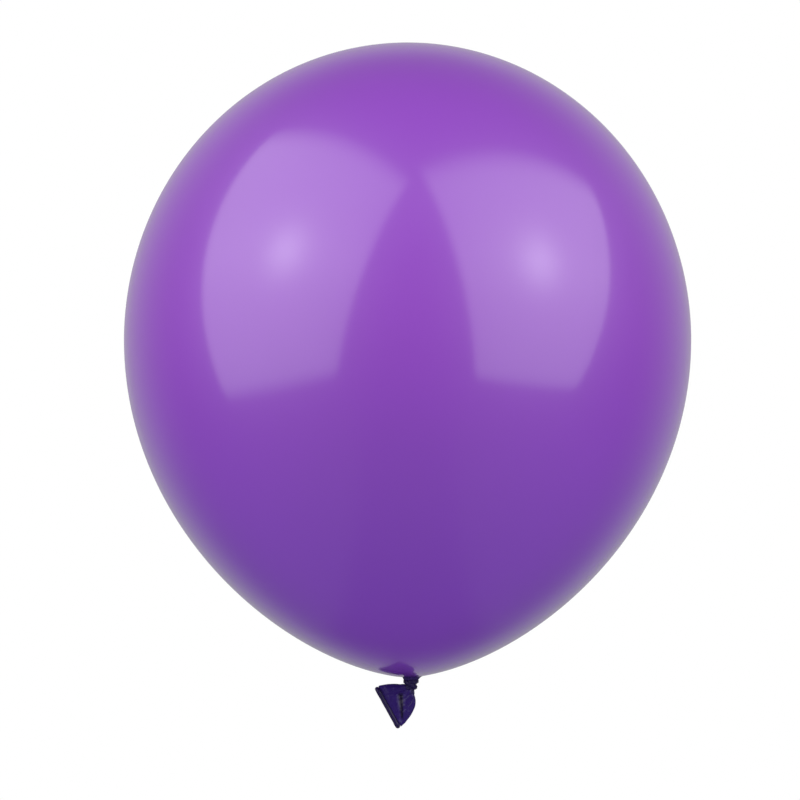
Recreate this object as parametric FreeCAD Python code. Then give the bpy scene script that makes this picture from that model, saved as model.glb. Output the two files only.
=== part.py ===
import FreeCAD
import Part

import math
import os

# A knotted party balloon of dipped latex, in millimetres, +Z up.
# The origin is the waist between the inflated skin and the knot, where a ribbon is tied.
# The skin bulges up from there. The knot and the flattened mouth hang below it.

Vector = FreeCAD.Vector

# Inflated skin
skin_radius = 150.0        # largest radius, at the equator
equator_height = 178.0     # from the foot of the skin up to the equator
crown_height = 157.7       # from the equator up to the crown
foot_power = 0.62          # 0.5 is an ellipse; more draws the lower half in towards the neck
crown_power = 0.5
skin_wall = 0.5
skin_offset = 1.8          # the knot never lands quite on the skin's own axis
foot_rise = 0.6            # the foot of the skin above the origin
profile_steps = 12         # points on each half of the profile

# Gathered collar that closes the foot of the skin
collar_radius = 10.0
collar_throat_radius = 2.7
collar_throat_height = 0.35
collar_middle_radius = 5.35
collar_middle_share = 0.35  # how far up the gather's middle section is
dome_wall = 0.6            # latex over the round head of the neck

# Gathered neck that runs from the collar down through the knot
strand_radius = 1.2
head_radius = 1.9          # round upper end, held in the collar
head_height = 0.9
flex_gap = 0.3             # room between pieces that bend or turn on each other
touch_gap = 0.05           # room between pieces that are drawn tight on each other

# Knot: the neck wrapped twice about itself
upper_wrap_thickness = 2.8
lower_wrap_thickness = 2.3
waist_length = 0.6         # from the origin down to the upper wrap

# Mouth below the knot, flattened, with a rolled rim
throat_radius = 1.9
throat_length = 2.8        # straight stretch above the centre of the throat's round end
tail_lift = 61.0           # degrees that the mouth is swung up towards -X from straight down
tail_wall = 0.5
# Flattened funnel: share of the way from the throat to the rim, half width, half thickness
tail_sections = [
    (0.0, 3.4, 1.7),
    (0.18, 6.9, 2.1),
    (0.45, 9.6, 2.3),
    (0.72, 11.1, 2.0),
    (1.0, 11.8, 1.5),
]
pocket_from = 0.4          # the open pocket starts at this share of the way
rim_thickness = 2.2
rim_half_length = 12.4
rim_gap = 0.4              # slot left between the two sides of the flattened rim
rim_reach = 15.4           # from the throat's centre to the outer edge of the rim

# Worked out from the sizes above
wrap_hole_radius = strand_radius + touch_gap
upper_wrap_height = -waist_length - upper_wrap_thickness / 2
lower_wrap_height = -waist_length - upper_wrap_thickness - touch_gap - lower_wrap_thickness / 2
strand_end_height = lower_wrap_height - lower_wrap_thickness / 4
# The throat's flat top comes up until its edge is touch_gap from the round of the lower wrap
wrap_past_throat = max(0, wrap_hole_radius + lower_wrap_thickness / 2 - throat_radius)
throat_drop = math.sqrt((lower_wrap_thickness / 2 + touch_gap) ** 2 - wrap_past_throat ** 2)
throat_top_height = lower_wrap_height - throat_drop
throat_centre = Vector(0, 0, throat_top_height - throat_length)
skirt_start = throat_radius + flex_gap
skirt_end = rim_reach - rim_thickness


def skin_point(angle, inset):
    """Point on the skin's profile, in the XZ plane. angle runs from -pi/2 (foot) to pi/2 (crown)."""
    upper = angle > 0
    height = (crown_height if upper else equator_height) - inset
    power = crown_power if upper else foot_power
    radius = (skin_radius - inset) * math.cos(angle) ** (2 * power)
    return Vector(radius, 0, foot_rise + equator_height + height * math.sin(angle))


def skin_angle_at_foot(radius, inset):
    """Angle at which the lower half of the profile has this radius."""
    share = radius / (skin_radius - inset)
    return -math.acos(share ** (1 / (2 * foot_power)))


def skin_curve(inset):
    """Profile from the collar's edge up to the crown."""
    start = skin_angle_at_foot(collar_radius, inset)
    angles = [start * (1 - i / profile_steps) for i in range(profile_steps)]
    angles += [math.pi / 2 * i / profile_steps for i in range(profile_steps)]
    points = [skin_point(a, inset) for a in angles]
    points.append(Vector(0, 0, foot_rise + equator_height + crown_height - inset))
    curve = Part.BSplineCurve()
    nearly = skin_point(start * 1.001, inset)
    curve.interpolate(
        Points=points,
        InitialTangent=(points[0] - nearly).normalize(),
        FinalTangent=Vector(-1, 0, 0),
    )
    return curve


def collar_edge(inset):
    """Point where the skin's outer (inset 0) or inner surface meets the collar."""
    return skin_point(skin_angle_at_foot(collar_radius, inset), inset)


def round_wire(x, z, radius):
    """Level circle as a wire."""
    return Part.Wire(Part.makeCircle(radius, Vector(x, 0, z)))


def envelope():
    """The inflated skin: a closed wall with one round opening at its foot."""
    outer = skin_curve(0)
    inner = skin_curve(skin_wall)
    edges = [
        outer.toShape(),
        Part.makeLine(outer.EndPoint, inner.EndPoint),
        inner.toShape(),
        Part.makeLine(inner.StartPoint, outer.StartPoint),
    ]
    face = Part.Face(Part.Wire(Part.__sortEdges__(edges)))
    solid = face.revolve(Vector(0, 0, 0), Vector(0, 0, 1), 360)
    solid.translate(Vector(-skin_offset, 0, 0))
    return solid


def neck_collar():
    """Thick gathered latex that closes the foot of the skin, with a round seat for the neck."""
    low, high = collar_edge(0), collar_edge(skin_wall)
    rim = Part.makeCylinder(collar_radius, high.z - low.z, Vector(-skin_offset, 0, low.z))
    middle_height = collar_throat_height + (low.z - collar_throat_height) * collar_middle_share
    gather = Part.makeLoft(
        [
            round_wire(-skin_offset, low.z, collar_radius),
            round_wire(-skin_offset / 2, middle_height, collar_middle_radius),
            round_wire(0, collar_throat_height, collar_throat_radius),
        ],
        True,
    )
    seat_radius = head_radius + flex_gap
    head_centre = Vector(0, 0, head_height)
    dome = Part.makeSphere(seat_radius + dome_wall, head_centre)
    above_foot = Part.makeCylinder(collar_radius, 2 * collar_radius, Vector(0, 0, low.z))
    dome = dome.common(above_foot)
    return rim.fuse([gather, dome]).removeSplitter().cut(Part.makeSphere(seat_radius, head_centre))


def neck_strand():
    """The neck drawn into a cord: a round head in the collar and a shank through the knot."""
    head = Part.makeSphere(head_radius, Vector(0, 0, head_height))
    length = head_height - strand_end_height
    shank = Part.makeCylinder(strand_radius, length, Vector(0, 0, strand_end_height))
    return head.fuse(shank).removeSplitter()


def knot_wrap(height, thickness):
    """One turn of the neck about itself."""
    return Part.makeTorus(wrap_hole_radius + thickness / 2, thickness / 2, Vector(0, 0, height))


def tail_throat():
    """Short gathered stretch that leaves the knot, with a round lower end for the mouth to bend on."""
    shank = Part.makeCylinder(throat_radius, throat_length, throat_centre)
    return shank.fuse(Part.makeSphere(throat_radius, throat_centre)).removeSplitter()


def flat_oval(distance, half_width, half_thickness):
    """Section of the flattened mouth: two straight sides and two round ends."""
    straight = half_width - half_thickness
    corners = [
        Vector(side * straight, face * half_thickness, -distance)
        for side, face in [(1, 1), (-1, 1), (-1, -1), (1, -1)]
    ]
    left = Vector(-half_width, 0, -distance)
    right = Vector(half_width, 0, -distance)
    return Part.Wire(
        [
            Part.makeLine(corners[0], corners[1]),
            Part.Arc(corners[1], left, corners[2]).toShape(),
            Part.makeLine(corners[2], corners[3]),
            Part.Arc(corners[3], right, corners[0]).toShape(),
        ]
    )


def swung(shape):
    """Places a piece of the mouth, made pointing straight down, on the throat."""
    shape.rotate(Vector(0, 0, 0), Vector(0, 1, 0), tail_lift)
    shape.translate(throat_centre)
    return shape


def funnel(sections, inset):
    """Solid through the given sections, each drawn in by inset."""
    length = skirt_end - skirt_start
    ovals = [flat_oval(skirt_start + share * length, w - inset, t - inset) for share, w, t in sections]
    return Part.makeLoft(ovals, True)


def tail_skirt():
    """The flattened funnel of the mouth, with its pocket open at the rim."""
    pocket_sections = [s for s in tail_sections if s[0] > pocket_from]
    return swung(funnel(tail_sections, 0).cut(funnel(pocket_sections, tail_wall)))


def rolled_lip():
    """The rim, rolled into a bead and pressed flat: two straight sides and two round ends."""
    bead = rim_thickness / 2
    turn = bead + rim_gap / 2
    straight = rim_half_length - bead - turn
    distance = -(rim_reach - bead)
    path = flat_oval(-distance, straight + turn, turn)
    start = Vector(straight, turn, distance)
    section = Part.Wire(Part.makeCircle(bead, start, Vector(1, 0, 0)))
    return swung(path.makePipeShell([section], True, True))


def save(name, shape):
    """Writes one sub-part as STEP after testing it."""
    if not shape.isValid():
        raise ValueError(name + " isn't a valid shape")
    print(name, "volume", round(shape.Volume, 2), "solids", len(shape.Solids))
    shape.exportStep("parts/" + name + ".step")


os.makedirs("parts", exist_ok=True)
save("envelope", envelope())
save("neck_collar", neck_collar())
save("neck_strand", neck_strand())
save("knot_upper_wrap", knot_wrap(upper_wrap_height, upper_wrap_thickness))
save("knot_lower_wrap", knot_wrap(lower_wrap_height, lower_wrap_thickness))
save("tail_throat", tail_throat())
save("tail_skirt", tail_skirt())
save("rolled_lip", rolled_lip())
print("neck pivot height", head_height, "tail pivot height", round(throat_centre.z, 3))
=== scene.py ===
import math
import random

import bmesh
import bpy
from mathutils import Matrix, Vector


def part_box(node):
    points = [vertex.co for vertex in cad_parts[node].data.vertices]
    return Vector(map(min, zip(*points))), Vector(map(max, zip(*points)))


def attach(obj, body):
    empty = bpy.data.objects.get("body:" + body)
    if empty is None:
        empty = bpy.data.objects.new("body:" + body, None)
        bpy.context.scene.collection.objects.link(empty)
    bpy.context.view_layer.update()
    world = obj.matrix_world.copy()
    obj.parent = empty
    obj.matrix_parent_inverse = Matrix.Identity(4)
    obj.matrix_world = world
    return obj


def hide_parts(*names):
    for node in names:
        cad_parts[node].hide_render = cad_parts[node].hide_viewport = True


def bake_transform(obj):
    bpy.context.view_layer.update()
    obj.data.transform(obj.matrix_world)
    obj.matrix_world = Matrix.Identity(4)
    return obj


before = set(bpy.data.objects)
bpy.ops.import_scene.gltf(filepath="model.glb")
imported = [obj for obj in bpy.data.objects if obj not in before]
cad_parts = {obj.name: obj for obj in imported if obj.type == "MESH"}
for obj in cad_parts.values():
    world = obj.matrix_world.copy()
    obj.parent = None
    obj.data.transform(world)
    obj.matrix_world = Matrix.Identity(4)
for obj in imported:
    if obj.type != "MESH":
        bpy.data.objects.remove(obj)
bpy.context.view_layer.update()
mm = 0.001
scene = bpy.context.scene


# Camera, light and floor

cameraSetup = {
    "away": 2.6,          # metres in front of the knot
    "left": 0.0058,
    "height": 0.1474,
    "across": 0.4233,     # width of the view at the object
}


def makeCamera(c):
    data = bpy.data.cameras.new("camera")
    data.sensor_width = 36
    data.lens = data.sensor_width * c["away"] / c["across"]
    camera = bpy.data.objects.new("camera", data)
    camera.location = (-c["left"], -c["away"], c["height"])
    camera.rotation_euler = (math.radians(90), 0, 0)
    scene.collection.objects.link(camera)
    scene.camera = camera


class Wire:  # a node's output that can be used in sums
    def __init__(self, finish, socket):
        self.finish = finish
        self.socket = socket

    def work(self, operation, *values):
        return self.finish.node("ShaderNodeMath", {"operation": operation}, dict(enumerate(values)))

    def __add__(self, other):
        return self.work("ADD", self, other)

    def __radd__(self, other):
        return self.work("ADD", other, self)

    def __sub__(self, other):
        return self.work("SUBTRACT", self, other)

    def __rsub__(self, other):
        return self.work("SUBTRACT", other, self)

    def __mul__(self, other):
        return self.work("MULTIPLY", self, other)

    def __rmul__(self, other):
        return self.work("MULTIPLY", other, self)

    def __truediv__(self, other):
        return self.work("DIVIDE", self, other)

    def __pow__(self, other):
        return self.work("POWER", self, other)

    def __rpow__(self, other):
        return self.work("POWER", other, self)


class Finish:  # a material or world and its nodes
    def __init__(self, owner):
        self.owner = owner
        owner.use_nodes = True
        self.tree = owner.node_tree
        self.tree.nodes.clear()

    def node(self, kind, settings=None, values=None, out=0):
        made = self.tree.nodes.new(kind)
        for key, value in (settings or {}).items():
            setattr(made, key, value)
        for key, value in (values or {}).items():
            if isinstance(value, Wire):
                self.tree.links.new(value.socket, made.inputs[key])
            else:
                made.inputs[key].default_value = value
        return Wire(self, made.outputs[out]) if made.outputs else made

    def also(self, wire, out):  # another output of the same node
        return Wire(self, wire.socket.node.outputs[out])

    def mixColour(self, share, a, b):
        a = a if isinstance(a, Wire) else (*a, 1)
        b = b if isinstance(b, Wire) else (*b, 1)
        return self.node("ShaderNodeMix", {"data_type": "RGBA"}, {0: share, 6: a, 7: b}, out=2)

    def ease(self, value, low, high, lowOut=0.0, highOut=1.0):  # smooth step between two values
        return self.node("ShaderNodeMapRange", {"interpolation_type": "SMOOTHSTEP"}, {
            "Value": value, "From Min": low, "From Max": high, "To Min": lowOut, "To Max": highOut})

    def cloud(self, place, scale, detail=2.0, roughness=0.5):
        return self.node("ShaderNodeTexNoise", None,
                         {"Vector": place, "Scale": scale, "Detail": detail, "Roughness": roughness})


leftBox = {
    "size": (1.4, 2.0), "place": (-0.75, -0.55, 0.55), "aim": (-0.05, -0.1, 0.0), "roll": 5,
    "glow": 2.75, "bulb": (0.05, 0.1), "bulbSize": 0.14, "bulbGlow": 1.5, "bandGlow": 0.16, "bandWidth": 0.2,
    "fade": (0.05, 0.12),     # soft edges at the sides, and at the top and bottom
}
rightBox = {
    "size": (1.3, 1.8), "place": (0.85, -0.55, 0.4), "aim": (0.35, 0.0, -0.25), "roll": -5,
    "glow": 2.75, "bulb": (-0.1, 0.2), "bulbSize": 0.14, "bulbGlow": 1.5, "bandGlow": 0.16, "bandWidth": 0.2,
    "fade": (0.05, 0.12),     # soft edges at the sides, and at the top and bottom
}


def makeSoftbox(name, b):
    data = bpy.data.lights.new(name, "AREA")
    data.shape = "RECTANGLE"
    data.size, data.size_y = wide, tall = b["size"]
    data.energy = b["glow"] * math.pi * wide * tall      # an area light's watts for an even glow
    box = bpy.data.objects.new(name, data)
    towards = Vector(b["aim"]) - Vector(b["place"])
    turn = towards.to_track_quat("-Z", "Y").to_matrix() @ Matrix.Rotation(math.radians(b["roll"]), 3, "Z")
    box.matrix_world = Matrix.Translation(b["place"]) @ turn.to_4x4()
    box.visible_camera = False
    scene.collection.objects.link(box)
    # the lamp behind the cloth shows as a bright core with a faint band across it
    cloth = Finish(data)
    spot = cloth.node("ShaderNodeNewGeometry", None, None, "Parametric")
    u = cloth.node("ShaderNodeSeparateXYZ", None, {"Vector": spot})
    v = cloth.also(u, "Y")
    across = (u - 0.5) * wide - b["bulb"][0]
    up = (v - 0.5) * tall - b["bulb"][1]
    near = (across * across + up * up) / b["bulbSize"] ** 2
    core = math.e ** (near * -1)
    band = math.e ** (up * up / -b["bandWidth"] ** 2)
    sides = cloth.ease(u * (1 - u), 0.0, b["fade"][0]) * cloth.ease(v * (1 - v), 0.0, b["fade"][1])
    strength = (1 + b["bulbGlow"] * core + b["bandGlow"] * band) * sides
    glow = cloth.node("ShaderNodeEmission", None, {"Strength": strength})
    cloth.node("ShaderNodeOutputLight", None, {"Surface": glow})


surroundings = {
    "front": 0.12, "back": 0.66, "top": 0.2,
    "under": 1.8,            # light that reaches the skin from below
    "underShine": (0.01, 0.19),  # what a shiny skin mirrors straight below, and to both sides
    "backdrop": 1.0,
    # where each of them starts and is full, as a share of the way from the middle to straight that way
    "backFrom": (0.2, 0.95), "topFrom": (0.45, 0.95), "underFrom": (-0.15, -0.7),
    "wallFrom": (0.5, 0.9), "sidesFrom": (0.06, 0.13),
}


def makeWorld(s):
    world = bpy.data.worlds.new("studio")
    scene.world = world
    sky = Finish(world)
    direction = sky.node("ShaderNodeTexCoord", None, None, "Generated")
    x = sky.node("ShaderNodeSeparateXYZ", None, {"Vector": direction})
    y = sky.also(x, "Y")
    z = sky.also(x, "Z")
    level = sky.ease(y, *s["backFrom"], s["front"], s["back"])
    up = sky.ease(z, *s["topFrom"])
    down = sky.ease(z, *s["underFrom"])
    seen = sky.node("ShaderNodeLightPath", None, None, "Is Camera Ray")
    shine = sky.also(seen, "Is Glossy Ray")
    away = sky.ease(y, *s["wallFrom"])  # behind, the pale wall is mirrored down to the floor
    middle, sides = s["underShine"]
    floorShine = sky.ease(x * x, *s["sidesFrom"], middle, sides)
    under = s["under"] * (1 - shine) + (floorShine * (1 - away) + level * away) * shine
    level = level * (1 - up) + s["top"] * up
    level = level * (1 - down) + under * down
    strength = level * (1 - seen) + s["backdrop"] * seen
    glow = sky.node("ShaderNodeBackground", None, {"Color": (1, 1, 1, 1), "Strength": strength})
    sky.node("ShaderNodeOutputWorld", None, {"Surface": glow})


floorSetup = {"size": 4.0, "height": -0.26, "speck": 3.0, "greys": (0.86, 0.90), "roughness": 0.8, "glow": 0.5}


def makeFloor(s):
    finish = Finish(bpy.data.materials.new("studioFloor"))
    place = finish.node("ShaderNodeTexCoord", None, None, "Object")
    speck = finish.cloud(place, s["speck"])
    dark, light = s["greys"]
    colour = finish.mixColour(speck, (dark, dark, dark), (light, light, light))
    top = finish.node("ShaderNodeBsdfPrincipled", None, {
        "Base Color": colour, "Roughness": s["roughness"], "Emission Color": (1, 1, 1, 1),
        "Emission Strength": s["glow"]})
    clear = finish.node("ShaderNodeBsdfTransparent")      # so the object can be looked at from below
    behind = finish.node("ShaderNodeNewGeometry", None, None, "Backfacing")
    surface = finish.node("ShaderNodeMixShader", None, {0: behind, 1: top, 2: clear})
    finish.node("ShaderNodeOutputMaterial", None, {"Surface": surface})
    bpy.ops.mesh.primitive_plane_add(size=s["size"], location=(0, 0, s["height"]))
    floor = bpy.context.object
    floor.name = "studioFloor"
    floor.data.materials.append(finish.owner)
    floor.visible_diffuse = floor.visible_glossy = False      # the world lights the skin from below


makeCamera(cameraSetup)
makeSoftbox("leftSoftbox", leftBox)
makeSoftbox("rightSoftbox", rightBox)
makeWorld(surroundings)
bpy.ops.object.select_all(action="DESELECT")
makeFloor(floorSetup)
scene.view_settings.view_transform = "Standard"
print("studio ready")


# Ways of working on a mesh

def pick(test, faces=False):  # selects the vertices, or faces, of the mesh in edit mode that pass a test
    shape = bmesh.from_edit_mesh(bpy.context.object.data)
    for part in (shape.verts, shape.edges, shape.faces):
        for item in part:
            item.select = False
    for item in shape.faces if faces else shape.verts:
        if test(item):
            item.select_set(True)
    shape.select_flush_mode()
    bmesh.update_edit_mesh(bpy.context.object.data)


def pickRing(ring, columns, test=lambda column: True):
    low, high = ring * columns, (ring + 1) * columns
    pick(lambda vertex: low <= vertex.index < high and test(vertex.index - low))


def startRing(name, columns, radii, place):  # an open ring of edges, in edit mode and selected
    bpy.ops.object.select_all(action="DESELECT")
    bpy.ops.mesh.primitive_circle_add(vertices=columns, radius=1, fill_type="NOTHING", location=place)
    piece = bpy.context.object
    piece.name = name
    bpy.ops.object.transform_apply(location=True, rotation=False, scale=False)
    bpy.ops.object.mode_set(mode="EDIT")
    bpy.ops.mesh.select_mode(type="VERT")
    bpy.ops.mesh.select_all(action="SELECT")
    bpy.ops.transform.resize(value=(radii[0], radii[1], 1), center_override=place)
    return piece


def nextRing(centre, radii, newCentre, newRadii):  # extrudes the selected ring to its next place and size
    bpy.ops.mesh.extrude_edges_move(TRANSFORM_OT_translate={"value": Vector(newCentre) - Vector(centre)})
    grow = (newRadii[0] / radii[0], newRadii[1] / radii[1], 1)
    bpy.ops.transform.resize(value=grow, center_override=newCentre)


def closeRing():
    bpy.ops.mesh.merge(type="CENTER")


def finishPiece(piece, levels=0, lumps=None):
    bpy.ops.object.mode_set(mode="EDIT")
    bpy.ops.mesh.select_all(action="SELECT")
    bpy.ops.mesh.remove_doubles(threshold=1e-7)
    bpy.ops.mesh.normals_make_consistent(inside=False)
    bpy.ops.object.mode_set(mode="OBJECT")
    if levels:
        smooth = piece.modifiers.new("smooth", "SUBSURF")
        smooth.levels = smooth.render_levels = levels
        bpy.ops.object.modifier_apply(modifier="smooth")
    if lumps:                # soft unevenness: size and height
        texture = bpy.data.textures.new(piece.name + "Lumps", "CLOUDS")
        texture.noise_scale = lumps[0] * mm
        texture.noise_depth = 1
        uneven = piece.modifiers.new("uneven", "DISPLACE")
        uneven.texture = texture
        uneven.strength = lumps[1] * mm
        uneven.texture_coords = "LOCAL"
        bpy.ops.object.modifier_apply(modifier="uneven")
    bpy.ops.object.shade_smooth()
    piece.select_set(False)


# Inflated skin

skin = {
    "columns": 120,
    "ringsBelow": 40,
    "ringsAbove": 34,
    "equator": 0.178,        # height of the widest place above the foot
    "foot": 0.0006,
    "footPower": 0.62,       # 0.5 would be a plain ellipse, more draws the foot in
    "ringCrowd": 1.35,       # more draws the rings together towards the foot
    "lastAngle": 88.5,       # degrees up at the last ring, just under the crown
    "firstRadius": 3.2 * mm,  # first ring round the foot's pole, hidden in the gathered neck
    # radius and height above the first ring of the small hollow that closes the foot
    "hollow": [(2.6 * mm, 0.0), (2.4 * mm, 0.8 * mm), (1.0 * mm, 1.2 * mm)],
    "pleats": 24,
    "pleatReach": 20 * mm,   # how far from the neck the pleats run up the film
    "pleatDepth": 0.4 * mm,
    "pleatFade": 1.5,
}

skinLow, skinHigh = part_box("envelope")
skinRadius = (skinHigh.y - skinLow.y) / 2
skinAxis = (skinHigh.x + skinLow.x) / 2
crown = skinHigh.z - skin["foot"] - skin["equator"]


def skinRing(angle):
    rise = skin["foot"] + skin["equator"]
    if angle < 0:
        return skinRadius * math.cos(angle) ** (2 * skin["footPower"]), rise + skin["equator"] * math.sin(angle)
    return skinRadius * math.cos(angle), rise + crown * math.sin(angle)


footAngle = -math.acos((skin["firstRadius"] / skinRadius) ** (0.5 / skin["footPower"]))


def skinAngles(s):
    below = [footAngle * (1 - (k / s["ringsBelow"]) ** s["ringCrowd"]) for k in range(s["ringsBelow"])]
    above = [math.radians(s["lastAngle"]) * k / s["ringsAbove"] for k in range(s["ringsAbove"] + 1)]
    return below + above


def makeSkin(s):
    angles = skinAngles(s)
    radius, height = skinRing(angles[0])
    piece = startRing("inflatedSkin", s["columns"], (radius, radius), (skinAxis, 0, height))
    for angle in angles[1:]:
        newRadius, newHeight = skinRing(angle)
        nextRing((skinAxis, 0, height), (radius, radius), (skinAxis, 0, newHeight), (newRadius, newRadius))
        radius, height = newRadius, newHeight
    bpy.ops.mesh.extrude_edges_move(TRANSFORM_OT_translate={"value": (0, 0, skinHigh.z - height)})
    closeRing()
    return piece


def pleatFoot(s):  # every fifth column is drawn up into the film, less and less away from the neck
    each = s["columns"] // s["pleats"]
    for ring in range(s["ringsBelow"]):
        radius, height = skinRing(skinAngles(s)[ring])
        if radius > s["pleatReach"]:
            break
        pickRing(ring, s["columns"], lambda column: column % each == 0)
        raised = s["pleatDepth"] * (1 - radius / s["pleatReach"]) ** s["pleatFade"]
        bpy.ops.transform.translate(value=(0, 0, raised))


def closeFoot(s):  # the hollow leaves room for the knot's shoulder when the neck leans
    pickRing(0, s["columns"])
    radius, foot = s["firstRadius"], Vector((skinAxis, 0, skinRing(footAngle)[1]))
    centre = foot
    for newRadius, rise in s["hollow"]:
        newCentre = foot + Vector((0, 0, rise))
        nextRing(centre, (radius, radius), newCentre, (newRadius, newRadius))
        radius, centre = newRadius, newCentre
    closeRing()


inflatedSkin = makeSkin(skin)
pleatFoot(skin)
closeFoot(skin)
finishPiece(inflatedSkin, levels=1)
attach(inflatedSkin, "balloon")
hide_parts("envelope")
print("inflated skin:", len(inflatedSkin.data.polygons), "faces")


# Gathered neck

gather = {
    "columns": 120,
    "pleats": 24,
    # radius, height, pleat depth in mm, from the film down into the knot
    "rings": [(6.6, 1.75, 0.0), (5.8, 1.35, 0.1), (5.2, 1.0, 0.2), (4.8, 0.7, 0.32), (4.5, 0.35, 0.4),
              (4.35, 0.0, 0.42), (4.2, -0.45, 0.42), (3.7, -0.85, 0.35), (2.6, -1.2, 0.2)],
    "lean": 0.5,             # the top sits this far to the side of the knot's axis, mm
    "leanOver": 1.3,         # more reaches the knot's axis sooner on the way down
    "cap": (1.2, 0.3),       # how far the closed top draws in, and rises twice, mm
    "uneven": (0.6, 1.4),    # range of the pleats' depths, as a share of the ring's own
    "groups": (0.8, 1.1, 1.4),  # shallow, middling and deep pleats
    "groupStep": 0.3,
    "seed": 4,
}


def makeGather(s):
    random.seed(s["seed"])
    columns, rings = s["columns"], s["rings"]
    span = rings[0][1] - rings[-1][1]

    def centreOf(height):  # the gathers run from the film's axis to the knot's
        share = max(0, min(1, (rings[0][1] - height) / span * s["leanOver"]))
        return Vector((s["lean"] * (1 - share), 0, height)) * mm

    radius, height = rings[0][:2]
    piece = startRing("gatheredNeck", columns, (radius * mm, radius * mm), centreOf(height))
    for newRadius, newHeight, _ in rings[1:]:
        nextRing(centreOf(height), (radius, radius), centreOf(newHeight), (newRadius, newRadius))
        radius, height = newRadius, newHeight
    closeRing()
    each = columns // s["pleats"]
    deep = [random.uniform(*s["uneven"]) for k in range(s["pleats"])]
    for k, (radius, height, depth) in enumerate(rings[:-1]):
        if depth == 0:
            continue
        for group in s["groups"]:
            pickRing(k, columns, lambda c: c % each == 0 and group - s["groupStep"] < deep[c // each] <= group)
            if bpy.context.object.data.total_vert_sel == 0:
                continue
            inwards = 1 - depth * group / radius
            bpy.ops.transform.resize(value=(inwards, inwards, 1), center_override=centreOf(height))
    pickRing(0, columns)
    top = centreOf(rings[0][1])
    wide, (drawn, rise) = rings[0][0], s["cap"]
    nextRing(top, (wide, wide), top + Vector((0, 0, rise * mm)), (wide - drawn, wide - drawn))
    bpy.ops.mesh.extrude_edges_move(TRANSFORM_OT_translate={"value": (0, 0, rise * mm)})
    closeRing()
    return piece


gatheredNeck = makeGather(gather)
finishPiece(gatheredNeck, levels=1, lumps=(1.6, 0.18))
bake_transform(gatheredNeck)
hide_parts("neck_collar")
print("gathered neck:", len(gatheredNeck.data.polygons), "faces")


# Knot

knot = {
    "columns": 36,
    "turns": 2.25,
    "steps": 26,             # rings in each turn
    "across": (2.6, 1.95),  # radius of the upper and the lower turn, mm
    "thick": (1.62, 1.52),
    "height": (-1.5, -4.3),
    "slope": 0.55,           # each turn sinks this far as it goes round
    "crossing": (0.46, 0.60),  # share of the way where it drops to the lower turn
    "folds": 9,
    "foldDepth": 0.13,
    "start": 200,            # degrees, where the first turn comes out of the neck
    "tuck": 6,               # rings that slim down at each end
    "tuckIn": 1.1,           # how far each end moves in towards the middle, mm
    "tuckSlim": 0.45,        # share of its thickness that each end loses
    "tuckCurve": 1.5,
}


def knotCentre(s, share):
    angle = math.radians(s["start"]) + share * s["turns"] * math.tau
    low, high = s["crossing"]
    step = max(0, min(1, (share - low) / (high - low)))
    step = step * step * (3 - 2 * step)
    away = s["across"][0] + (s["across"][1] - s["across"][0]) * step
    drop = s["height"][0] + (s["height"][1] - s["height"][0]) * step - s["slope"] * (share - 0.5)
    size = s["thick"][0] + (s["thick"][1] - s["thick"][0]) * step
    end = min(share, 1 - share) * s["turns"] * s["steps"] / s["tuck"]
    if end < 1:              # both ends slim down and tuck in towards the middle
        away -= s["tuckIn"] * (1 - end) ** s["tuckCurve"]
        size *= 1 - s["tuckSlim"] * (1 - end) ** s["tuckCurve"]
    return Vector((away * math.cos(angle), away * math.sin(angle), drop)) * mm, angle, size * mm


def makeKnot(s):
    count = int(s["turns"] * s["steps"])
    centre, angle, size = knotCentre(s, 0)
    piece = startRing("tiedKnot", s["columns"], (size, size), (0, 0, 0))
    for fold in range(s["columns"]):  # long folds run the whole way round the turns
        if fold % (s["columns"] // s["folds"]) == 0:
            pick(lambda vertex: vertex.index == fold)
            inwards = 1 - s["foldDepth"]
            bpy.ops.transform.resize(value=(inwards, inwards, 1), center_override=(0, 0, 0))
    bpy.ops.mesh.select_all(action="SELECT")
    # stand the ring up and carry it to the start of the turn
    bpy.ops.transform.rotate(value=math.radians(90), orient_axis="X", center_override=(0, 0, 0))
    bpy.ops.transform.rotate(value=-angle, orient_axis="Z", center_override=(0, 0, 0))
    bpy.ops.transform.translate(value=centre)
    for k in range(1, count + 1):
        newCentre, newAngle, newSize = knotCentre(s, k / count)
        bpy.ops.mesh.extrude_edges_move(TRANSFORM_OT_translate={"value": newCentre - centre})
        bpy.ops.transform.rotate(value=angle - newAngle, orient_axis="Z", center_override=newCentre)
        grow = newSize / size
        bpy.ops.transform.resize(value=(grow, grow, grow), center_override=newCentre)
        centre, angle, size = newCentre, newAngle, newSize
    closeRing()
    pickRing(0, s["columns"])
    closeRing()
    return piece


tiedKnot = makeKnot(knot)
finishPiece(tiedKnot, levels=1, lumps=(1.1, 0.3))
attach(tiedKnot, "knot")
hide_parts("knot_upper_wrap", "knot_lower_wrap")
print("tied knot:", len(tiedKnot.data.polygons), "faces")


# Neck strand, drawn down through the knot

strand = {
    "columns": 48,
    "pleats": 12,
    # radius and height, mm
    "rings": [(1.6, 0.45), (3.0, 0.0), (3.2, -0.4), (2.5, -1.2),
              (2.2, -2.6), (2.1, -4.4), (1.9, -5.4), (1.2, -5.8)],
    "depth": 0.12,
}


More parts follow.
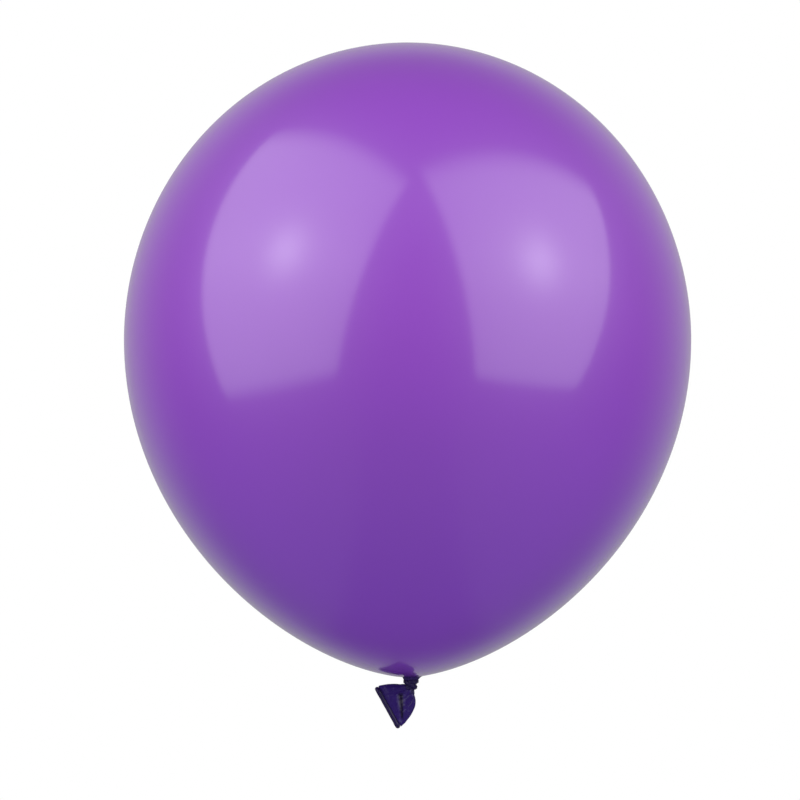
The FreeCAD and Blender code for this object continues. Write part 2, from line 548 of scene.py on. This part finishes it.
def makeNeckStrand(s):
    radius, height = s["rings"][0]
    piece = startRing("neckStrand", s["columns"], (radius * mm, radius * mm), (0, 0, height * mm))
    for newRadius, newHeight in s["rings"][1:]:
        nextRing((0, 0, height * mm), (radius, radius), (0, 0, newHeight * mm), (newRadius, newRadius))
        radius, height = newRadius, newHeight
    closeRing()
    pickRing(0, s["columns"])
    closeRing()
    each = s["columns"] // s["pleats"]
    pick(lambda vertex: vertex.index % each == 0)
    inwards = 1 - s["depth"]
    bpy.ops.transform.resize(value=(inwards, inwards, 1), center_override=(0, 0, 0))
    return piece


neckStrand = makeNeckStrand(strand)
finishPiece(neckStrand, levels=1)
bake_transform(neckStrand)
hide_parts("neck_strand")
print("neck strand:", len(neckStrand.data.polygons), "faces")


# Throat, from the knot into the mouth

throat = {
    "columns": 48,
    "pleats": 12,
    "radius": 1.9,
    # radius and height above the centre of the throat's round end, mm
    "rings": [(1.3, 4.3), (1.85, 4.0), (1.9, 3.2), (1.85, 2.4),
              (1.9, 1.6), (2.0, 0.8), (1.9, 0.0), (1.5, -0.9)],
    "depth": 0.16,
    "caps": (0.3, -0.5),     # how far the closed top and bottom stand out, mm
}

throatCentre = Vector((0, 0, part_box("tail_throat")[0].z + throat["radius"] * mm))


def makeThroat(s):
    radius, height = s["rings"][0]
    centre = throatCentre + Vector((0, 0, height * mm))
    piece = startRing("mouthThroat", s["columns"], (radius * mm, radius * mm), centre)
    for newRadius, newHeight in s["rings"][1:]:
        newCentre = throatCentre + Vector((0, 0, newHeight * mm))
        nextRing(centre, (radius, radius), newCentre, (newRadius, newRadius))
        radius, centre = newRadius, newCentre
    bpy.ops.mesh.extrude_edges_move(TRANSFORM_OT_translate={"value": (0, 0, s["caps"][1] * mm)})
    closeRing()
    pickRing(0, s["columns"])
    bpy.ops.mesh.extrude_edges_move(TRANSFORM_OT_translate={"value": (0, 0, s["caps"][0] * mm)})
    closeRing()
    each = s["columns"] // s["pleats"]
    pick(lambda vertex: vertex.index < len(s["rings"]) * s["columns"] and vertex.index % each == 0)
    inwards = 1 - s["depth"]
    bpy.ops.transform.resize(value=(inwards, inwards, 1), center_override=throatCentre)
    return piece


mouthThroat = makeThroat(throat)
finishPiece(mouthThroat, levels=1)
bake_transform(mouthThroat)
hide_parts("tail_throat")
print("throat:", len(mouthThroat.data.polygons), "faces")


# Flattened mouth

mouth = {
    "lift": 61,              # degrees from straight down
    "columns": 96,
    # distance out from the throat's centre, sideways shift, half width, half thickness, depth of the gathers
    "rings": [(-1.75, -0.9, 0.9, 0.5, 0.0), (-1.6, -0.9, 2.2, 1.2, 0.1), (-1.2, -0.85, 3.6, 1.75, 0.18),
              (-0.6, -0.75, 4.9, 2.05, 0.24), (0.2, -0.55, 6.0, 2.1, 0.28), (1.2, -0.3, 6.9, 2.0, 0.3),
              (2.3, 0.0, 7.6, 1.95, 0.3), (3.5, 0.0, 8.4, 1.9, 0.3), (4.8, 0.0, 9.2, 1.95, 0.27),
              (6.1, 0.0, 9.9, 2.0, 0.24), (7.5, 0.0, 10.6, 2.0, 0.2), (8.9, 0.0, 11.2, 2.05, 0.15),
              (10.2, 0.0, 11.7, 2.0, 0.1), (11.4, 0.0, 12.0, 1.85, 0.06), (12.3, 0.0, 12.2, 1.6, 0.02),
              (13.1, 0.0, 12.4, 2.0, 0.0)],
    "pocket": [(12.9, 11.2, 0.75), (11.0, 10.4, 0.75), (9.0, 9.2, 0.6), (7.6, 8.0, 0.4)],
    "pleats": 12,
    "seed": 11,
    "uneven": (0.4, 1.3),    # range of the gathers' depths, as a share of the ring's own
    "groups": (0.7, 1.0, 1.3),  # shallow, middling and deep gathers
    "groupStep": 0.3,
    # fold across the front, from near the throat to the lower edge: sideways and outwards, mm
    "fold": ((-2.9, 4.6), (9.4, 10.4)),
    "foldDepth": 0.75,
    "foldReach": 2.2,
    "foldTop": (0.4, 0.35),  # share of its length that goes deeper near the throat, and how much deeper, mm
    "foldCuts": (-1.6, -1.1, -0.6, 0.6, 1.1, 1.6, 0),  # straight edges beside the fold and along it, mm
    "foldSmooth": 8,
    "foldFront": 0.4,        # how far in front of the middle a point is when the fold may move it, mm
    "foldPast": 0.8,         # how far the fold runs on past both its ends, mm
    "paintedFoldShade": (1.7, 0.8),  # half width of the painted shade along the crease, partly the darker doubled latex, at the two ends of the fold, mm
    # colour and strength of the painted shade in the crease
    "paintedShadeColour": (0.003, 0.001, 0.013),
    "paintedShadeStrength": 0.85,
    "shadeSides": (1.0, 0.05),  # where it fades in, across the fold, as a share of its width squared
    "shadeEnds": ((-0.12, 0.06), (1.05, 0.85)),  # and at its two ends, as a share of its length
    "shadeFront": 0.6,       # and from the middle to the front, mm
}


def makeMouth(s):
    random.seed(s["seed"])
    columns = s["columns"]

    def at(away, shift=0):
        return Vector((shift, 0, -away)) * mm

    # it is built hanging straight down, and lifted when it is done
    away, shift, wide, thick = s["rings"][0][:4]
    piece = startRing("mouthFunnel", columns, (wide * mm, thick * mm), at(away, shift))
    for newAway, newShift, newWide, newThick, _ in s["rings"][1:]:
        nextRing(at(away, shift), (wide, thick), at(newAway, newShift), (newWide, newThick))
        away, shift, wide, thick = newAway, newShift, newWide, newThick
    for newAway, newWide, newThick in s["pocket"]:
        nextRing(at(away), (wide, thick), at(newAway), (newWide, newThick))
        away, wide, thick = newAway, newWide, newThick
    closeRing()
    pickRing(0, columns)
    closeRing()
    # gathers run from the throat out towards the rim and fade away; the closed pole has moved the numbering
    deep = [random.uniform(*s["uneven"]) for k in range(s["pleats"])]
    each = columns // s["pleats"]
    for k, (away, shift, wide, thick, gathers) in enumerate(s["rings"]):
        for group in s["groups"]:
            if k == 0 or gathers == 0:
                continue
            first = k * columns - (columns - 1)
            pick(lambda v: first <= v.index < first + columns and (v.index - first) % each == 0
                 and group - s["groupStep"] < deep[(v.index - first) // each] <= group)
            if piece.data.total_vert_sel:
                bpy.ops.transform.resize(value=(1, 1 - gathers * group, 1), center_override=at(away, shift))
    finishPiece(piece, levels=1)
    foldMouth(piece, s)
    finishPiece(piece, levels=1, lumps=(3.0, 0.35))
    piece.select_set(True)
    piece.rotation_euler = (0, math.radians(s["lift"]), 0)
    piece.location = throatCentre
    bpy.ops.object.transform_apply()
    piece.select_set(False)
    return piece


def foldLine(s):  # where the fold starts, its direction, the direction across it and its length
    (x0, z0), (x1, z1) = s["fold"]
    start, end = Vector((x0, 0, -z0)) * mm, Vector((x1, 0, -z1)) * mm
    along = (end - start).normalized()
    return start, along, Vector((-along.z, 0, along.x)), (end - start).length


def foldMouth(piece, s):  # a crease pressed into the front, deepest near the throat
    start, along, across, length = foldLine(s)
    onLine = 0.01 * mm       # a point this near the line lies on it

    def onFront(place):
        run = (place - start).dot(along)
        past = s["foldPast"] * mm
        return place.y < -s["foldFront"] * mm and -past < run < length + past

    bpy.context.view_layer.objects.active = piece
    bpy.ops.object.mode_set(mode="EDIT")
    for aside in s["foldCuts"]:
        pick(lambda face: onFront(face.calc_center_median()), faces=True)
        bpy.ops.mesh.bisect(plane_co=start + across * aside * mm, plane_no=across)
    for part, depth in ((1.0, s["foldDepth"]), s["foldTop"]):
        pick(lambda vertex: onFront(vertex.co) and abs((vertex.co - start).dot(across)) < onLine
             and 0 <= (vertex.co - start).dot(along) <= length * part)
        bpy.ops.transform.translate(value=(0, depth * mm, 0), use_proportional_edit=True,
                                    proportional_edit_falloff="SMOOTH", proportional_size=s["foldReach"] * mm)
    # the cut edges leave it ragged, so both flanks of the fold are evened out
    pick(lambda vertex: onFront(vertex.co) and abs((vertex.co - start).dot(across)) < s["foldReach"] * mm)
    bpy.ops.mesh.vertices_smooth(factor=0.5, repeat=s["foldSmooth"])
    bpy.ops.object.mode_set(mode="OBJECT")


mouthFunnel = makeMouth(mouth)
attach(mouthFunnel, "tail")
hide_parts("tail_skirt")
print("mouth:", len(mouthFunnel.data.polygons), "faces")


# Rolled lip

lip = {
    "halfLength": 11.2,
    "halfGap": 1.42,
    "away": 14.15,
    "thick": 1.28,
    "round": 0.552,          # handle length that makes a quarter of a circle
    "swell": 1.12,           # the middle of each side bows out by this much
    "reach": 0.4,            # handle length along the straight sides
}


def makeLip(s):
    bpy.ops.object.select_all(action="DESELECT")
    bpy.ops.curve.primitive_bezier_circle_add(radius=1)
    line = bpy.context.object
    line.name = "rolledLip"
    flat = s["halfLength"] - s["halfGap"]
    points = line.data.splines[0].bezier_points
    line.data.splines[0].bezier_points.add(4)
    end, gap, turn = s["halfLength"], s["halfGap"], s["halfGap"] * s["round"]
    swell, reach = gap * s["swell"], flat * s["reach"]
    # each point with its two handles, once round the flattened rim
    path = [
        ((flat, -gap), (reach, -gap), (flat + turn, -gap)), ((end, 0), (end, -turn), (end, turn)),
        ((flat, gap), (flat + turn, gap), (reach, gap)), ((0, swell), (reach, swell), (-reach, swell)),
        ((-flat, gap), (-reach, gap), (-flat - turn, gap)), ((-end, 0), (-end, turn), (-end, -turn)),
        ((-flat, -gap), (-flat - turn, -gap), (-reach, -gap)), ((0, -swell), (-reach, -swell), (reach, -swell)),
    ]
    for point, (here, before, after) in zip(points, path):
        point.handle_left_type = point.handle_right_type = "FREE"
        point.co = Vector((here[0], here[1], 0)) * mm
        point.handle_left = Vector((before[0], before[1], 0)) * mm
        point.handle_right = Vector((after[0], after[1], 0)) * mm
    line.data.resolution_u = 10
    line.data.bevel_depth = s["thick"] * mm
    line.data.bevel_resolution = 8
    line.location = (0, 0, -s["away"] * mm)
    bpy.ops.object.convert(target="MESH")
    piece = bpy.context.object
    bpy.ops.object.transform_apply()
    finishPiece(piece, levels=1, lumps=(2.2, 0.25))
    piece.select_set(True)
    piece.rotation_euler = (0, math.radians(mouth["lift"]), 0)
    piece.location = throatCentre
    bpy.ops.object.transform_apply()
    return piece


rolledLip = makeLip(lip)
rolledLip.select_set(False)
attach(rolledLip, "tail")
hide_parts("rolled_lip")
print("rolled lip:", len(rolledLip.data.polygons), "faces")


# Finishes

film = {
    "low": (0.165, 0.032, 0.41),
    "high": (0.215, 0.047, 0.4),
    "fadeHeights": (0.03, 0.21),  # metres up, where the colour goes from low to high
    "footRing": (0.010, 0.0055),  # metres from the axis, where the film thickens to the foot's colour
    "footTop": 0.03,
    "cloud": 0.07,           # how far the colour wanders
    "cloudScale": 9.0,
    "grainScale": 220.0,
    "bump": 0.06,
    "bumpShares": (0.6, 0.02),  # of the cloud and of the grain
    "roughGrain": 0.03,
    "foot": (0.030, 0.009, 0.11),
    "through": (0.28, 0.05, 0.50),
    "translucence": 0.25,
    "roughness": 0.40,
    "coatRoughness": 0.11,
}


def stretchedFilm(s):
    finish = Finish(bpy.data.materials.new("stretchedFilm"))
    place = finish.node("ShaderNodeTexCoord", None, None, "Object")
    x = finish.node("ShaderNodeSeparateXYZ", None, {"Vector": place})
    y = finish.also(x, "Y")
    z = finish.also(x, "Z")
    cloudy = finish.cloud(place, s["cloudScale"], 3.0)
    fine = finish.cloud(place, s["grainScale"])
    away = ((x - skinAxis) * (x - skinAxis) + y * y) ** 0.5
    thick = finish.ease(away, *s["footRing"]) * finish.ease(z, s["footTop"], 0.0)
    colour = finish.mixColour(finish.ease(z, *s["fadeHeights"]), s["low"], s["high"])
    brightness = 1 - s["cloud"] / 2 + cloudy * s["cloud"]
    colour = finish.node("ShaderNodeVectorMath", {"operation": "SCALE"}, {0: colour, "Scale": brightness})
    colour = finish.mixColour(thick, colour, s["foot"])
    rough = s["roughness"] + fine * s["roughGrain"]
    cloudShare, fineShare = s["bumpShares"]
    bump = finish.node("ShaderNodeBump", None, {
        "Strength": s["bump"], "Distance": 0.4 * mm, "Height": cloudy * cloudShare + fine * fineShare})
    gloss = finish.node("ShaderNodeBsdfPrincipled", None, {
        "Base Color": colour, "Roughness": rough, "IOR": 1.5, "Specular IOR Level": 0.45, "Normal": bump,
        "Coat Weight": 0.85, "Coat Roughness": s["coatRoughness"], "Coat IOR": 1.5})
    glow = finish.node("ShaderNodeBsdfTranslucent", None, {"Color": (*s["through"], 1)})
    share = s["translucence"] * (1 - thick)
    surface = finish.node("ShaderNodeMixShader", None, {0: share, 1: gloss, 2: glow})
    finish.node("ShaderNodeOutputMaterial", None, {"Surface": surface})
    return finish.owner


def paintedFoldShade(finish, place, s):  # painted shade along the crease: 1 along the fold of the mouth's front, 0 away from it
    start, along, across, length = foldLine(s)
    turn = Matrix.Rotation(math.radians(s["lift"]), 3, "Y")
    start, along, across = turn @ start + throatCentre, turn @ along, turn @ across
    x = finish.node("ShaderNodeSeparateXYZ", None, {"Vector": place})
    z = finish.also(x, "Z")
    aside = (x - start.x) * across.x + (z - start.z) * across.z
    run = ((x - start.x) * along.x + (z - start.z) * along.z) / length
    top, bottom = s["paintedFoldShade"]
    width = (top + run * (bottom - top)) * mm
    band = finish.ease(aside * aside / (width * width), *s["shadeSides"])
    fromTop, fromBottom = s["shadeEnds"]
    ends = finish.ease(run, *fromTop) * finish.ease(run, *fromBottom)
    return band * ends * finish.ease(finish.also(x, "Y"), 0.0, -s["shadeFront"] * mm)


wrinkles = {
    "finer": 3.5,            # how much finer than the cloud
    "detail": 4.0,
    "broken": 0.6,
    "roughGrain": 0.12,
}


def thickLatex(name, dark, light, roughness, grain, creases, fold=None):
    finish = Finish(bpy.data.materials.new(name))
    place = finish.node("ShaderNodeTexCoord", None, None, "Object")
    cloudy = finish.cloud(place, grain, 3.0)
    wrinkle = finish.cloud(place, grain * wrinkles["finer"], wrinkles["detail"], wrinkles["broken"])
    colour = finish.mixColour(cloudy, dark, light)
    if fold:
        # painted shade darkens the colour along the crease, together with the doubled latex's own darker tone
        shade = paintedFoldShade(finish, place, fold) * fold["paintedShadeStrength"]
        colour = finish.mixColour(shade, colour, fold["paintedShadeColour"])
    rough = roughness + cloudy * wrinkles["roughGrain"]
    bump = finish.node("ShaderNodeBump", None, {
        "Strength": creases, "Distance": 0.3 * mm, "Height": cloudy * 0.5 + wrinkle * 0.5})
    surface = finish.node("ShaderNodeBsdfPrincipled", None, {
        "Base Color": colour, "Roughness": rough, "IOR": 1.5, "Specular IOR Level": 0.22, "Normal": bump})
    finish.node("ShaderNodeOutputMaterial", None, {"Surface": surface})
    return finish.owner


# name, darkest and lightest colour, roughness, grain, strength of the creases
latexes = {
    gatheredNeck: ("gatheredLatex", (0.014, 0.005, 0.060), (0.022, 0.008, 0.09), 0.25, 700, 0.4),
    tiedKnot: ("knotLatex", (0.007, 0.003, 0.035), (0.012, 0.005, 0.055), 0.32, 600, 0.5),
    mouthThroat: ("throatLatex", (0.008, 0.003, 0.042), (0.014, 0.006, 0.065), 0.32, 700, 0.5),
    neckStrand: ("strandLatex", (0.007, 0.003, 0.035), (0.012, 0.005, 0.055), 0.32, 800, 0.5),
    mouthFunnel: ("mouthLatex", (0.014, 0.004, 0.076), (0.021, 0.007, 0.105), 0.27, 350, 0.4, mouth),
    rolledLip: ("rolledLatex", (0.007, 0.003, 0.033), (0.012, 0.005, 0.05), 0.34, 500, 0.4),
}
inflatedSkin.data.materials.clear()
inflatedSkin.data.materials.append(stretchedFilm(film))
for piece, finish in latexes.items():
    piece.data.materials.clear()
    piece.data.materials.append(thickLatex(*finish))
print("finishes ready")
